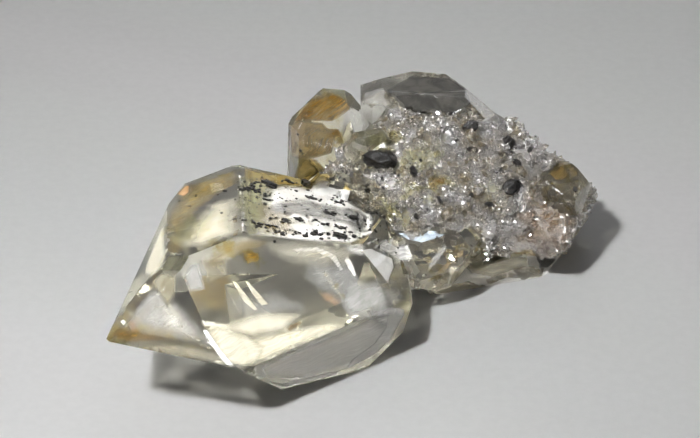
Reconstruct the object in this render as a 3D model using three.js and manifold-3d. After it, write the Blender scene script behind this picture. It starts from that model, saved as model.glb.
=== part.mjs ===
// A herkimer diamond: a cluster of doubly terminated quartz crystals that grew into one
// another, with a crust of small crystals (the druse) and lumps of black carbon in hollows of
// that crust. Millimetres, +Z up. The cluster stands on z = 0 with its middle over the origin.

import * as THREE from 'three';
import { ConvexGeometry } from 'three/addons/geometries/ConvexGeometry.js';
import { mergeVertices } from 'three/addons/utils/BufferGeometryUtils.js';
import Module from 'manifold-3d';

const wasm = await Module();
wasm.setup();

// Driving dimensions
const rhombAngle = 51.8;           // between a termination face of quartz and its base plane
const druseCount = 320;            // small crystals tried on the druse
const druseRadius = [0.3, 0.85];   // smallest and largest of them, centre to corner
const druseStretch = [1.25, 2.1];  // half their length, in radii
const druseLean = 65;              // most that one leans away from the face it grows on
const cleanMargin = 0.4;           // kept between the druse and the large clear crystals
const lumpCorners = 16;            // corners of a carbon lump
const seatGap = 0.32;              // between a carbon lump and its hollow
const floorBlock = [120, 120, 40]; // cut away under z = 0, which leaves flats to rest on

const degrees = Math.PI / 180;
const up = new THREE.Vector3(0, 0, 1);
const lathed = new THREE.Vector3(0, 1, 0);   // the way a lathed crystal points

function seededRandom(seed) {
  let state = seed;
  return (low = 0, high = 1) => {
    state = (state * 1664525 + 1013904223) % 4294967296;
    return low + (high - low) * state / 4294967296;
  };
}

function direction(heading, rise) {
  const flat = Math.cos(rise * degrees);
  return new THREE.Vector3(
    flat * Math.cos(heading * degrees),
    flat * Math.sin(heading * degrees),
    Math.sin(rise * degrees),
  );
}

// Planes { normal, reach } of a quartz crystal about its middle. The c axis points along
// `heading` and `rise`, and prism face 0 is turned by `roll` about it. `prism`, `near` and `far`
// are the reaches of the six prism faces and of the six termination faces at each end, as
// lists or, where all six are alike, as one number. `cuts` are further planes [heading, rise,
// reach], where a face is broken or met another crystal.
function crystalPlanes({ heading, rise, roll, prism, near, far, cuts = [] }) {
  const axis = direction(heading, rise);
  const side = new THREE.Vector3().crossVectors(axis, up).normalize();
  const top = new THREE.Vector3().crossVectors(side, axis);
  const slant = Math.sin(rhombAngle * degrees);
  const along = Math.cos(rhombAngle * degrees);
  const planes = cuts.map(([cutHeading, cutRise, reach]) => (
    { normal: direction(cutHeading, cutRise), reach }
  ));
  for (let face = 0; face < 6; face += 1) {
    const turn = (roll + 60 * face) * degrees;
    const flat = side.clone().multiplyScalar(Math.cos(turn));
    flat.addScaledVector(top, Math.sin(turn));
    const nearFace = flat.clone().multiplyScalar(slant).addScaledVector(axis, -along);
    const farFace = flat.clone().multiplyScalar(slant).addScaledVector(axis, along);
    planes.push({ normal: flat, reach: prism[face] ?? prism });
    planes.push({ normal: nearFace, reach: near[face] ?? near });
    planes.push({ normal: farFace, reach: far[face] ?? far });
  }
  return planes;
}

function isInside(point, planes, margin) {
  return planes.every(({ normal, reach }) => normal.dot(point) < reach + margin);
}

// Corners of the solid that the planes leave
function cornersOf(planes) {
  const corners = [];
  const matrix = new THREE.Matrix3();
  for (let i = 0; i < planes.length; i += 1) {
    for (let j = i + 1; j < planes.length; j += 1) {
      for (let k = j + 1; k < planes.length; k += 1) {
        const [a, b, c] = [planes[i].normal, planes[j].normal, planes[k].normal];
        matrix.set(a.x, a.y, a.z, b.x, b.y, b.z, c.x, c.y, c.z);
        if (Math.abs(matrix.determinant()) < 1e-4) continue;
        const corner = new THREE.Vector3(planes[i].reach, planes[j].reach, planes[k].reach);
        corner.applyMatrix3(matrix.invert());
        const known = corners.some((other) => other.distanceTo(corner) < 1e-3);
        if (!known && isInside(corner, planes, 1e-5)) corners.push(corner);
      }
    }
  }
  return corners;
}

function crystalGeometry(shape) {
  const geometry = new ConvexGeometry(cornersOf(crystalPlanes(shape)));
  geometry.translate(...shape.at);
  return geometry;
}

function solidOf(geometry) {
  geometry.deleteAttribute('normal');
  geometry.deleteAttribute('uv');
  const merged = mergeVertices(geometry, 1e-4);
  return new wasm.Manifold(new wasm.Mesh({
    numProp: 3,
    vertProperties: Float32Array.from(merged.attributes.position.array),
    triVerts: Uint32Array.from(merged.index.array),
  }));
}

function geometryOf(solid) {
  const mesh = solid.getMesh();
  const geometry = new THREE.BufferGeometry();
  geometry.setAttribute('position', new THREE.BufferAttribute(mesh.vertProperties.slice(), 3));
  geometry.setIndex(new THREE.BufferAttribute(mesh.triVerts.slice(), 1));
  return geometry;
}

// The large clear crystal, which lies on its side and points to the front left
const mainAxis = { at: [-7.5, -8.4, 8.5], heading: 39, rise: 0, roll: -18 };
const mainCrystal = {
  ...mainAxis,
  prism: [8.4, 6.2, 8.1, 16.5, 9.0, 9.4],
  near: [14.5, 13.5, 14.3, 18, 18, 18],
  far: [12.0, 8.3, 16, 16, 16, 10.6],
  cuts: [
    [-97, 25.7, 14.0],
    [-128, -74.5, 3.8],
    [175.2, 40.8, 13.2],
    [163, 21.8, 14.4],
    [170, 23, 14.0],
    [33, 71.4, 6.1],
  ],
};

// Its keel, which grew under it in the same direction
const keelCrystal = {
  ...mainAxis,
  prism: [8.4, 6.0, 3, 6, 9.0, 9.4],
  near: [14, 13, 13.5, 18, 18, 18],
  far: [12.0, 8.1, 14, 16, 16, 10.6],
  cuts: [
    [-156.4, -44.2, 7.2],
    [-117.5, -76, 7.8],
  ],
};

// The short upright crystal with an amber cap
const amberCrystal = {
  at: [-3.9, 14.6, 11.4],
  heading: 80,
  rise: 78,
  roll: 30,
  prism: [3.4, 3.0, 3.6, 3.6, 3.6, 3.6],
  near: [7.4, 6.6, 7.0, 6.6, 6.8, 6.4],
  far: [4.5, 3.2, 4.2, 4.6, 4.4, 5.4],
};

// The hazy grey crystal at the back
const hazyCrystal = {
  at: [6.1, 17.6, 12.7],
  heading: -4,
  rise: -3,
  roll: 32,
  prism: [4.6, 4.6, 4.6, 4.6, 5, 4.6],
  near: [6.8, 6.4, 7.0, 7, 7, 7],
  far: [8, 6.2, 6.2, 8.5, 8, 8],
  cuts: [
    [180, 0, 6.5],
    [117, 57, 5.5],
    [32, 42, 5.5],
  ],
};

// The olive gold crystal in front of it
const oliveCrystal = {
  at: [1.1, 8.8, 13.2],
  heading: 250,
  rise: 52,
  roll: 10,
  prism: [2.5, 2.3, 2.2, 2.5, 2.3, 2.4],
  near: 8,
  far: [3.6, 3.2, 3.6, 3.2, 3.6, 3.2],
};

// The two stubby crystals at the right end
const goldenCrystal = {
  at: [19.8, 11.0, 8.3],
  heading: -70,
  rise: 18,
  roll: 26,
  prism: [3.0, 2.8, 2.8, 2.9, 3, 3.2],
  near: 7,
  far: [3.6, 3.2, 3.6, 3.2, 3.6, 3.2],
};
const rosyCrystal = {
  at: [18.7, 7.6, 6.0],
  heading: -75,
  rise: 5,
  roll: 20,
  prism: [2.9, 2.7, 2.9, 3.0, 2.7, 2.9],
  near: 6,
  far: [3.0, 2.8, 3.2, 2.8, 3.0, 2.8],
};

// The clear crystal that the right half rests on
const baseCrystal = {
  at: [12.5, 11.6, 3.0],
  heading: 17,
  rise: 0,
  roll: 8,
  prism: [5.35, 4.2, 4, 4.5, 4.5, 6.0],
  near: [9, 8, 8, 9, 9, 9],
  far: [6.9, 7.2, 7.4, 8, 8, 7.6],
};

// The slanting crystal between the main crystal and the druse
const neckCrystal = {
  at: [8.0, 5.1, 6.0],
  heading: 62,
  rise: 4,
  roll: -22,
  prism: [3.6, 4.4, 3.4, 4, 4, 3.0],
  near: [5.4, 5.0, 5.6, 7, 7, 5.6],
  far: 10,
};

// The body that the druse covers
const druseBody = {
  at: [8.0, 11.1, 9],
  heading: 20,
  rise: -12,
  roll: 45,
  prism: [6.2, 7.2, 6.6, 7, 6, 8.6],
  near: [9.4, 8.6, 9, 9, 9, 9],
  far: [13, 12, 12, 13, 12, 12],
  cuts: [[30, 41, 9.4]],
};

// A middling crystal with equal faces, `girth` between its prism faces and `length` over all
function evenCrystal(at, heading, rise, roll, girth, length) {
  const reach = length / 2 * Math.cos(rhombAngle * degrees);
  return { at, heading, rise, roll, prism: girth / 2, near: reach, far: reach };
}

// Middling crystals that stand out of the druse: at its lower front, its top, its right and back
const middlingCrystals = [
  evenCrystal([14.3, 6.0, 9.2], 15, -48, 12, 2.8, 4.6),
  evenCrystal([16.4, 7.2, 9.5], 70, 62, 25, 1.4, 4.0),
  evenCrystal([12.5, 4.0, 7.9], 80, 66, 5, 1.9, 3.6),
  evenCrystal([9.8, 4.4, 10.4], -60, 28, 40, 1.9, 3.2),
  evenCrystal([6.6, 2.4, 10.2], 12, 8, 18, 2.0, 4.4),
  evenCrystal([3.6, 3.4, 11.5], 34, -22, 33, 2.0, 3.6),
  evenCrystal([4.8, 8.2, 16.6], -20, 35, 8, 1.6, 2.9),
  evenCrystal([3.2, 13.0, 15.6], 8, 12, 22, 2.6, 4.4),
  evenCrystal([17.0, 11.3, 12.5], 32, -24, 15, 2.7, 5.0),
  evenCrystal([18.6, 10.4, 11.2], -40, 38, 48, 1.9, 3.4),
  evenCrystal([14.0, 18.6, 7.6], 100, 20, 30, 2.8, 5.0),
  evenCrystal([17.6, 16.0, 9.0], 60, 34, 10, 2.2, 4.2),
  evenCrystal([3.6, 17.4, 6.2], 150, -8, 44, 2.6, 4.8),
];

// The druse spreads over `druseGround` and stops at the crystals in `cleanCrystals`
const druseGround = [druseBody, neckCrystal];
const cleanCrystals = [
  mainCrystal, keelCrystal, amberCrystal, hazyCrystal, baseCrystal, rosyCrystal, goldenCrystal,
];
const largeCrystals = [
  ...cleanCrystals, oliveCrystal, ...druseGround, ...middlingCrystals,
];

// Lumps of black carbon: where they sit, which way the druse faces there, and their half sizes
const lumps = [
  { at: [1.7, 5.5, 14.9], facing: [255, 42], half: [1.35, 0.75, 0.9], seed: 5 },
  { at: [14.8, 7.2, 10.7], facing: [-58, 44], half: [0.75, 0.5, 0.7], seed: 11 },
  { at: [14.5, 10.6, 14.0], facing: [-58, 44], half: [0.55, 0.45, 0.5], seed: 17 },
  { at: [10.6, 10.4, 15.9], facing: [-58, 44], half: [0.62, 0.45, 0.48], seed: 23 },
];

// A small crystal with a point at both ends, its c axis along +Y
function druseCrystal(radius, halfLength) {
  const point = radius * Math.cos(30 * degrees) * Math.tan(rhombAngle * degrees);
  const shoulder = Math.max(halfLength - point, 0.05);
  const profile = [
    [0, -shoulder - point],
    [radius, -shoulder],
    [radius, shoulder],
    [0, shoulder + point],
  ];
  return new THREE.LatheGeometry(profile.map(([x, y]) => new THREE.Vector2(x, y)), 6);
}

// Points spread evenly over a body's surface, each with its face's outward normal
function surfacePoints(geometry, count, random) {
  const position = geometry.attributes.position;
  const triangles = [];
  let total = 0;
  for (let i = 0; i < position.count; i += 3) {
    const triangle = new THREE.Triangle();
    triangle.setFromAttributeAndIndices(position, i, i + 1, i + 2);
    total += triangle.getArea();
    triangles.push({ triangle, total });
  }
  return Array.from({ length: count }, () => {
    const pick = random(0, total);
    const { triangle } = triangles.find((entry) => entry.total >= pick);
    const across = Math.sqrt(random());
    const down = random();
    const point = triangle.a.clone().multiplyScalar(1 - across);
    point.addScaledVector(triangle.b, across * (1 - down));
    point.addScaledVector(triangle.c, across * down);
    return { point, normal: triangle.getNormal(new THREE.Vector3()) };
  });
}

function isOnDruse(point) {
  return cleanCrystals.every((shape) => {
    const local = point.clone().sub(new THREE.Vector3(...shape.at));
    return !isInside(local, crystalPlanes(shape), cleanMargin);
  });
}

function growDruse(quartz) {
  const random = seededRandom(67);
  let grown = quartz;
  for (const ground of druseGround) {
    const share = Math.round(druseCount * (ground === druseBody ? 0.85 : 0.15));
    for (const { point, normal } of surfacePoints(crystalGeometry(ground), share, random)) {
      const radius = druseRadius[0] + (druseRadius[1] - druseRadius[0]) * random() ** 2;
      const halfLength = radius * random(...druseStretch);
      const lean = random(0, druseLean) * degrees;
      const spin = random(0, 360) * degrees;
      if (!isOnDruse(point)) continue;
      const geometry = druseCrystal(radius, halfLength);
      geometry.rotateY(random(0, 60) * degrees);
      geometry.rotateX(lean);
      geometry.rotateY(spin);
      geometry.applyQuaternion(new THREE.Quaternion().setFromUnitVectors(lathed, normal));
      geometry.translate(point.x, point.y, point.z);
      grown = grown.add(solidOf(geometry));
    }
  }
  return grown;
}

// A lump's geometry, `grow` larger all round, with its local Z along the way the druse faces
function lumpGeometry({ at, facing, half, seed }, grow) {
  const random = seededRandom(seed);
  const corners = Array.from({ length: lumpCorners }, (_, index) => {
    const height = 1 - 2 * (index + 0.5) / lumpCorners;
    const turn = index * 2.4 + random(-0.4, 0.4);
    const ring = Math.sqrt(1 - height * height);
    const outward = new THREE.Vector3(ring * Math.cos(turn), ring * Math.sin(turn), height);
    const corner = outward.clone().multiply(new THREE.Vector3(...half));
    corner.multiplyScalar(random(0.86, 1.1));
    return corner.addScaledVector(outward, grow);
  });
  const geometry = new ConvexGeometry(corners);
  const matrix = new THREE.Matrix4().lookAt(direction(...facing), new THREE.Vector3(), up);
  geometry.applyMatrix4(matrix);
  geometry.translate(...at);
  return geometry;
}

function buildQuartz() {
  let quartz = null;
  for (const shape of largeCrystals) {
    const solid = solidOf(crystalGeometry(shape));
    quartz = quartz ? quartz.add(solid) : solid;
  }
  quartz = growDruse(quartz);
  for (const lump of lumps) {
    quartz = quartz.subtract(solidOf(lumpGeometry(lump, seatGap)));
  }
  const below = new THREE.BoxGeometry(...floorBlock);
  below.translate(0, 0, -floorBlock[2] / 2);
  return quartz.subtract(solidOf(below));
}

function addPiece(group, name, geometry, material) {
  const mesh = new THREE.Mesh(geometry, material);
  mesh.name = name;
  group.add(mesh);
}

const quartzMaterial = new THREE.MeshStandardMaterial({
  color: 0xd9d6cb,
  roughness: 0.08,
  metalness: 0,
});
const carbonMaterial = new THREE.MeshStandardMaterial({
  color: 0x100f0e,
  roughness: 0.45,
  metalness: 0,
});

const cluster = new THREE.Group();
addPiece(cluster, 'quartz_cluster', geometryOf(buildQuartz()), quartzMaterial);
lumps.forEach((lump, index) => {
  addPiece(cluster, `carbon_lump_${index + 1}`, lumpGeometry(lump, 0), carbonMaterial);
});

// Bring the middle of the whole, seen from above, over the origin
const extent = new THREE.Box3().setFromObject(cluster);
const middle = extent.getCenter(new THREE.Vector3());
cluster.position.set(-middle.x, -middle.y, 0);

export default cluster;
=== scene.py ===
import math
import random

import bmesh
import bpy
import numpy as np
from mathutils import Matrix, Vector, geometry, noise
from mathutils.bvhtree import BVHTree


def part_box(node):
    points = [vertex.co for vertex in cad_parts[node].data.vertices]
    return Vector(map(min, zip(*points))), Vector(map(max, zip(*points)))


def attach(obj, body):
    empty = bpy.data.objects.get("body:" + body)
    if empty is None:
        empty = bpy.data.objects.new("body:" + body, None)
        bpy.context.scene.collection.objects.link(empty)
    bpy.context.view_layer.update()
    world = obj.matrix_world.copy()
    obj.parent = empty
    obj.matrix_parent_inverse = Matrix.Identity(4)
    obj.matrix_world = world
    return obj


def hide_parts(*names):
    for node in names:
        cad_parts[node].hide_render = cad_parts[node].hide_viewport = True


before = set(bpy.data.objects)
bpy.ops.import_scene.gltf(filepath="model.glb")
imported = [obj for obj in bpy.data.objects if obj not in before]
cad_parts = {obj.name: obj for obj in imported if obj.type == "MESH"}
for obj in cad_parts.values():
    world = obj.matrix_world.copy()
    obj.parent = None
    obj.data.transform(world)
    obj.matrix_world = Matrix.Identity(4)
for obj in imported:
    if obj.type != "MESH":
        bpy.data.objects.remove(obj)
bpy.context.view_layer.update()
scene = bpy.context.scene
mm = 0.001  # every place and size below is in millimetres

print("frame loaded")


def direction(heading, rise):
    flat = math.cos(math.radians(rise))
    return Vector((
        flat * math.cos(math.radians(heading)),
        flat * math.sin(math.radians(heading)),
        math.sin(math.radians(rise)),
    ))


def linkObject(name, data):
    obj = bpy.data.objects.new(name, data)
    scene.collection.objects.link(obj)
    return obj


def meshObject(name, bm, materials):
    mesh = bpy.data.meshes.new(name)
    bm.to_mesh(mesh)
    bm.free()
    for material in materials:
        mesh.materials.append(material)
    return linkObject(name, mesh)


def placeFacing(obj, place, target):
    obj.location = Vector(place)
    obj.rotation_euler = (Vector(target) - Vector(place)).to_track_quat("-Z", "Y").to_euler()


def addNode(tree, kind, inputs=None, **settings):
    node = tree.nodes.new(kind)
    for name, value in settings.items():
        setattr(node, name, value)
    for name, value in (inputs or {}).items():
        if isinstance(value, bpy.types.NodeSocket):
            tree.links.new(value, node.inputs[name])
        else:
            node.inputs[name].default_value = value
    return node


cameraSpec = {
    "target": (-1.5, 5.6, 8.0),
    "heading": -90,      # where it stands, seen from the target
    "rise": 30,
    "distance": 300,
    "lens": 151.2,
    "sensor": 36,
}


def addCamera(spec):
    data = bpy.data.cameras.new("camera")
    data.lens = spec["lens"]
    data.sensor_width = spec["sensor"]
    data.clip_start = 0.01
    data.clip_end = 10
    camera = linkObject("camera", data)
    target = Vector(spec["target"]) * mm
    placeFacing(camera, target + direction(spec["heading"], spec["rise"]) * spec["distance"] * mm, target)
    scene.camera = camera


addCamera(cameraSpec)
print("camera in place")


# small steps that the trees share
def mathStep(tree, operation, first, second=0.0, clamp=False):
    node = addNode(tree, "ShaderNodeMath", {0: first, 1: second}, operation=operation, use_clamp=clamp)
    return node.outputs[0]


def vectorStep(tree, operation, first, second=None):
    inputs = {0: first}
    if second is not None:
        inputs["Scale" if operation == "SCALE" else 1] = second
    node = addNode(tree, "ShaderNodeVectorMath", inputs, operation=operation)
    return node.outputs["Value" if operation in ("DOT_PRODUCT", "LENGTH") else "Vector"]


# a noise's colour as a push to any side
def pushStep(tree, colour, amount):
    return vectorStep(tree, "SCALE", vectorStep(tree, "SUBTRACT", colour, (0.5, 0.5, 0.5)), amount)


def noiseStep(tree, vector, scale, detail=3.0, roughness=0.55, distortion=0.0, output="Fac"):
    return addNode(tree, "ShaderNodeTexNoise", {
        "Vector": vector, "Scale": scale, "Detail": detail, "Roughness": roughness, "Distortion": distortion,
    }).outputs[output]


def rangeStep(tree, value, low, high, toLow=0.0, toHigh=1.0):
    return addNode(tree, "ShaderNodeMapRange", {
        "Value": value, "From Min": low, "From Max": high, "To Min": toLow, "To Max": toHigh,
    }, interpolation_type="SMOOTHSTEP").outputs["Result"]


def mixStep(tree, factor, first, second):
    return addNode(tree, "ShaderNodeMix", {0: factor, 6: first, 7: second}, data_type="RGBA").outputs[2]


def readStep(tree, name):
    return addNode(tree, "ShaderNodeAttribute", attribute_name=name).outputs["Fac"]


def newGroup(name, inputs, outputs):
    group = bpy.data.node_groups.new(name, "ShaderNodeTree")
    for socketName, kind in inputs:
        group.interface.new_socket(name=socketName, in_out="INPUT", socket_type=kind)
    for socketName, kind in outputs:
        group.interface.new_socket(name=socketName, in_out="OUTPUT", socket_type=kind)
    return group, group.nodes.new("NodeGroupInput").outputs, group.nodes.new("NodeGroupOutput").inputs


def newMaterial(name):
    material = bpy.data.materials.new(name)
    material.use_nodes = True
    tree = material.node_tree
    place = addNode(tree, "ShaderNodeTexCoord").outputs["Object"]
    return material, tree, tree.nodes["Principled BSDF"], place


# where iron stain and painted dark lie: middle, half sizes, strength
stainAndPaintedDarkSpec = {
    "golden": [
        ((-17.0, 1.0, 13.9), (2.6, 4.2, 1.6), 0.75),    # upper edge of the top face
        ((-13.0, 4.6, 13.3), (4.0, 1.6, 1.4), 0.6),
        ((-7.0, 5.6, 12.9), (5.5, 1.3, 1.6), 0.6),
        ((-18.9, -9.0, 15.2), (1.1, 4.0, 1.2), 0.6),
        ((-13.0, -14.6, 16.6), (3.8, 1.3, 1.3), 1.0),   # below its front edge
        ((-11.0, -14.1, 15.2), (1.3, 1.3, 1.3), 1.0),
        ((-23.0, -21.0, 10.4), (2.6, 1.8, 1.3), 0.7),   # the point
        ((-10.9, -3.5, 15.1), (1.3, 6.0, 1.3), 0.55),
        ((-6.7, -17.4, 9.4), (1.6, 0.6, 0.6), 0.8),
        ((-3.3, -13.4, 10.2), (1.0, 0.6, 0.6), 0.8),
        ((-16.8, -9.0, 15.9), (2.6, 5.0, 1.2), 0.42),   # broken spots on the top face
        ((-4.8, 15.4, 15.6), (3.6, 3.4, 1.9), 0.9),     # amber cap
        ((-4.4, 14.0, 11.0), (4.4, 4.4, 6.0), 0.55),    # and the rest of that crystal
        ((-3.0, 12.6, 14.4), (1.5, 1.0, 0.9), 0.9),
        ((1.2, 7.8, 16.4), (2.8, 3.0, 2.2), 0.6),       # olive crystal
        ((20.6, 10.2, 11.0), (1.7, 2.2, 1.2), 0.65),    # stubby crystal
        ((7.6, 4.9, 12.8), (1.8, 1.4, 1.2), 1.0),       # druse
        ((4.5, 7.5, 13.8), (4.2, 3.5, 3.0), 0.5),
        ((4.2, 3.4, 11.0), (3.0, 1.8, 2.6), 0.55),
        ((12.5, 6.6, 10.4), (2.2, 1.8, 1.6), 0.45),
        ((7.2, -1.0, 5.6), (1.8, 0.8, 1.1), 0.8),       # neck
    ],
    "rosy": [
        ((18.8, 5.2, 7.4), (4.2, 4.0, 4.0), 1.0),
    ],
    # painted dark reflection: darkens the rear hazy crystal where it mirrors dark surroundings
    "paintedDark": [
        ((6.6, 20.8, 9.8), (8.0, 7.0, 5.2), 1.0),
    ],
    "fade": (0.35, 1.15),     # where a patch starts to fade and ends, in half sizes
    "mottle": 620,            # breaks the patches up
    "swirl": 420,             # pulls them out of shape, by so many millimetres
    "pull": 7.0,
    "goldenColour": (0.62, 0.45, 0.14, 1),
    "paleGolden": (0.86, 0.83, 0.55, 1),
    "rosyColour": (0.50, 0.345, 0.225, 1),
    "paintedDarkColour": (0.34, 0.325, 0.29, 1),
}


def patchMask(tree, vector, patches):
    near, far = stainAndPaintedDarkSpec["fade"]
    total = None
    for middle, half, strength in patches:
        shifted = vectorStep(tree, "SUBTRACT", vector, Vector(middle) * mm)
        reach = vectorStep(tree, "LENGTH", vectorStep(tree, "DIVIDE", shifted, Vector(half) * mm))
        mask = rangeStep(tree, reach, near, far, strength, 0.0)
        total = mask if total is None else mathStep(tree, "MAXIMUM", total, mask)
    return total


def stainAndPaintedDarkGroup(spec):
    group, source, sink = newGroup(
        "ironStainAndPaintedDark",
        [("Vector", "NodeSocketVector"), ("Colour", "NodeSocketColor")],
        [("Colour", "NodeSocketColor"), ("Golden", "NodeSocketFloat")],
    )
    swirl = noiseStep(group, source["Vector"], spec["swirl"], 4.0, 0.65, output="Color")
    vector = vectorStep(group, "ADD", source["Vector"], pushStep(group, swirl, spec["pull"] * mm))
    broken = rangeStep(group, noiseStep(group, vector, spec["mottle"], 5.0, 0.62, 0.4), 0.34, 0.62, 0.35, 1.0)
    golden = mathStep(group, "MULTIPLY", patchMask(group, vector, spec["golden"]), broken)
    rosy = mathStep(group, "MULTIPLY", patchMask(group, vector, spec["rosy"]), broken)
    colour = mixStep(group, rangeStep(group, golden, 0.0, 0.45), source["Colour"], spec["paleGolden"])
    colour = mixStep(group, rangeStep(group, golden, 0.3, 0.85), colour, spec["goldenColour"])
    colour = mixStep(group, rosy, colour, spec["rosyColour"])
    # painted dark reflection over the rear hazy crystal
    colour = mixStep(group, patchMask(group, vector, spec["paintedDark"]), colour, spec["paintedDarkColour"])
    group.links.new(colour, sink["Colour"])
    group.links.new(golden, sink["Golden"])
    return group


quartzSpec = {
    "clear": {
        "colour": (1.0, 0.995, 0.98, 1),
        "cloud": (0.95, 0.94, 0.91, 1),      # mixed in by low clouds
        "haze": (170, 0.5, 0.8),             # scale, from, to
        "roughness": (0.0, 0.07),
        "transmission": 0.94,
        # light that goes straight through: into a dark facet, into a bright one, out again
        "shade": ((0.08, 0.078, 0.07, 1), (0.75, 0.74, 0.70, 1), (1.7, 1.69, 1.66, 1)),
        "absorption": ((0.95, 0.935, 0.80, 1), 55.0),
        "bump": (0.12, 0.00003, 900),
        "striation": 0.5,
        "glitter": 0.0,
    },
    "druse": {
        "colour": (0.60, 0.58, 0.585, 1),
        "cloud": (0.34, 0.285, 0.18, 1),
        "haze": (420, 0.35, 0.75),
        "roughness": (0.05, 0.40),
        "transmission": 0.62,
        "shade": ((0.01, 0.01, 0.01, 1), (0.05, 0.048, 0.043, 1), (0.7, 0.69, 0.66, 1)),
        "absorption": None,
        "bump": (0.6, 0.00010, 2200),
        "striation": 0.0,
        "glitter": 1.0,
    },
    "grain": {
        "colour": (0.92, 0.91, 0.92, 1),
        "cloud": (0.62, 0.53, 0.37, 1),
        "haze": (420, 0.35, 0.75),
        "roughness": (0.0, 0.10),
        "transmission": 0.86,
        "shade": ((0.30, 0.29, 0.27, 1), (0.6, 0.59, 0.56, 1), (0.85, 0.84, 0.80, 1)),
        "absorption": None,
        "bump": (0.1, 0.00002, 3000),
        "striation": 0.0,
        "glitter": 1.0,
    },
    "ior": 1.544,
    "clouded": (0.38, 0.68),      # part of the haze noise over which the cloud colour comes in
    "stainRoughness": 0.08,
    "growthHeading": 39,
    "growthLines": 4200,
    "glitterCells": 3600,
    "glitterTilt": 0.9,
    "coat": (0.05, 1.9),          # roughness and IOR of the glitter
    "streaks": 330,
    "streakShare": 1.1,
    "facetShare": (0.36, 1.1),    # part of a facet's share over which it turns bright
}


def quartzMaterial(name, stainAndPaintedDark, spec):
    material, tree, shader, place = newMaterial(name)
    # iron stains, and painted dark on the rear hazy crystal
    stainedAndDarkened = addNode(tree, "ShaderNodeGroup", node_tree=stainAndPaintedDark)
    tree.links.new(place, stainedAndDarkened.inputs["Vector"])
    scale, low, high = spec["haze"]
    haze = noiseStep(tree, place, scale, 4.0, 0.6)
    plain = mixStep(tree, rangeStep(tree, haze, *quartzSpec["clouded"]), spec["colour"], spec["cloud"])
    tree.links.new(plain, stainedAndDarkened.inputs["Colour"])
    tree.links.new(stainedAndDarkened.outputs["Colour"], shader.inputs["Base Color"])
    duller = mathStep(tree, "MULTIPLY", stainedAndDarkened.outputs["Golden"], quartzSpec["stainRoughness"])
    roughness = mathStep(tree, "ADD", rangeStep(tree, haze, low, high, *spec["roughness"]), duller, True)
    tree.links.new(roughness, shader.inputs["Roughness"])
    shader.inputs["Transmission Weight"].default_value = spec["transmission"]
    shader.inputs["IOR"].default_value = quartzSpec["ior"]
    strength, height, fine = spec["bump"]
    uneven = noiseStep(tree, place, fine, 4.0, 0.6)
    if spec["striation"]:
        uneven = mathStep(tree, "ADD", uneven, striationStep(tree, place, spec["striation"]))
    bump = addNode(tree, "ShaderNodeBump", {"Strength": strength, "Distance": height, "Height": uneven})
    tree.links.new(bump.outputs["Normal"], shader.inputs["Normal"])
    if spec["glitter"]:
        coatRoughness, coatIor = quartzSpec["coat"]
        shader.inputs["Coat Weight"].default_value = spec["glitter"]
        shader.inputs["Coat Roughness"].default_value = coatRoughness
        shader.inputs["Coat IOR"].default_value = coatIor
        tree.links.new(glitterStep(tree, place), shader.inputs["Coat Normal"])
    # each facet lets its own share of light in, so light and dark shapes fall below the crystal
    dark, bright, leaving = spec["shade"]
    streak = mathStep(tree, "SUBTRACT", noiseStep(tree, place, quartzSpec["streaks"], 3.0, 0.6, 1.5), 0.5)
    streak = mathStep(tree, "MULTIPLY", streak, quartzSpec["streakShare"])
    share = mathStep(tree, "ADD", readStep(tree, "facet"), streak)
    entering = mixStep(tree, rangeStep(tree, share, *quartzSpec["facetShare"]), dark, bright)
    side = addNode(tree, "ShaderNodeNewGeometry").outputs["Backfacing"]
    through = addNode(tree, "ShaderNodeBsdfTransparent", {"Color": mixStep(tree, side, entering, leaving)})
    rays = addNode(tree, "ShaderNodeLightPath").outputs
    straight = mathStep(tree, "MAXIMUM", rays["Is Shadow Ray"], rays["Is Diffuse Ray"])
    both = addNode(tree, "ShaderNodeMixShader", {0: straight, 1: shader.outputs[0], 2: through.outputs[0]})
    output = tree.nodes["Material Output"].inputs
    tree.links.new(both.outputs[0], output["Surface"])
    if spec["absorption"]:
        colour, density = spec["absorption"]
        absorption = addNode(tree, "ShaderNodeVolumeAbsorption", {"Color": colour, "Density": density})
        tree.links.new(absorption.outputs["Volume"], output["Volume"])
    return material


# small cells, each tilted its own way
def glitterStep(tree, place):
    cells = addNode(tree, "ShaderNodeTexVoronoi", {"Vector": place, "Scale": quartzSpec["glitterCells"]})
    tilt = pushStep(tree, cells.outputs["Color"], quartzSpec["glitterTilt"])
    normal = addNode(tree, "ShaderNodeNewGeometry").outputs["Normal"]
    return vectorStep(tree, "NORMALIZE", vectorStep(tree, "ADD", normal, tilt))


# growth lines across the large crystal's long faces
def striationStep(tree, place, strength):
    axis = direction(quartzSpec["growthHeading"], 0)
    along = vectorStep(tree, "DOT_PRODUCT", place, axis)
    normal = addNode(tree, "ShaderNodeNewGeometry").outputs["True Normal"]
    slant = vectorStep(tree, "DOT_PRODUCT", normal, axis)
    longFace = rangeStep(tree, mathStep(tree, "ABSOLUTE", slant), 0.1, 0.3, 1.0, 0.0)
    lines = addNode(tree, "ShaderNodeTexNoise", {
        "W": along, "Scale": quartzSpec["growthLines"], "Detail": 4.0, "Roughness": 0.7,
    }, noise_dimensions="1D").outputs["Fac"]
    return mathStep(tree, "MULTIPLY", mathStep(tree, "MULTIPLY", lines, longFace), strength)


carbonSpec = {
    "grain": 2600,
    "tones": ((0.006, 0.0055, 0.005, 1), (0.024, 0.021, 0.018, 1)),
    "roughness": (0.20, 0.50),
    "specular": 0.35,
    "pits": (0.5, 0.00008, 5200),     # strength, height, scale
}


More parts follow.
